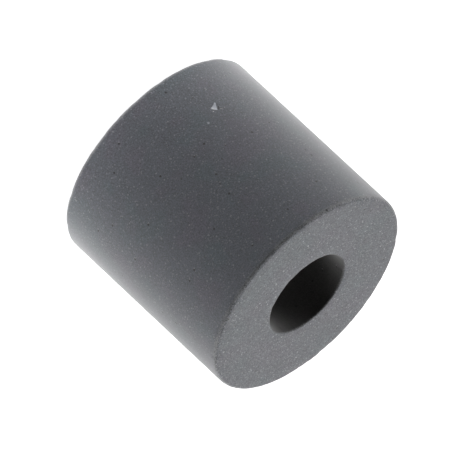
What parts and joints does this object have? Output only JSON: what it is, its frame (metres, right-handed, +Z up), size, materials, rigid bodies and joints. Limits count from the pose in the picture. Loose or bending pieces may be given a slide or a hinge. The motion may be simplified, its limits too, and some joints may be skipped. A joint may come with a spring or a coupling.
{
  "type": "ferrite cable core",
  "caption": "Solid round ferrite core: a short thick-walled tube that is threaded onto a cable to damp high-frequency noise.",
  "frame": {"origin": "centre of the lower end face, on the bore's axis", "axes": "+Z up along the bore, from the lower end face to the upper one; X and Y lie in the lower end face"},
  "size_m": [0.0122, 0.0122, 0.0115],
  "materials": {
    "ferrite": "as-fired grey ferrite, matt, fine grained, with a slight sheen at a grazing angle"
  },
  "bodies": {
    "root": {"ferrite_core": "ferrite"}
  },
  "joints": []
}
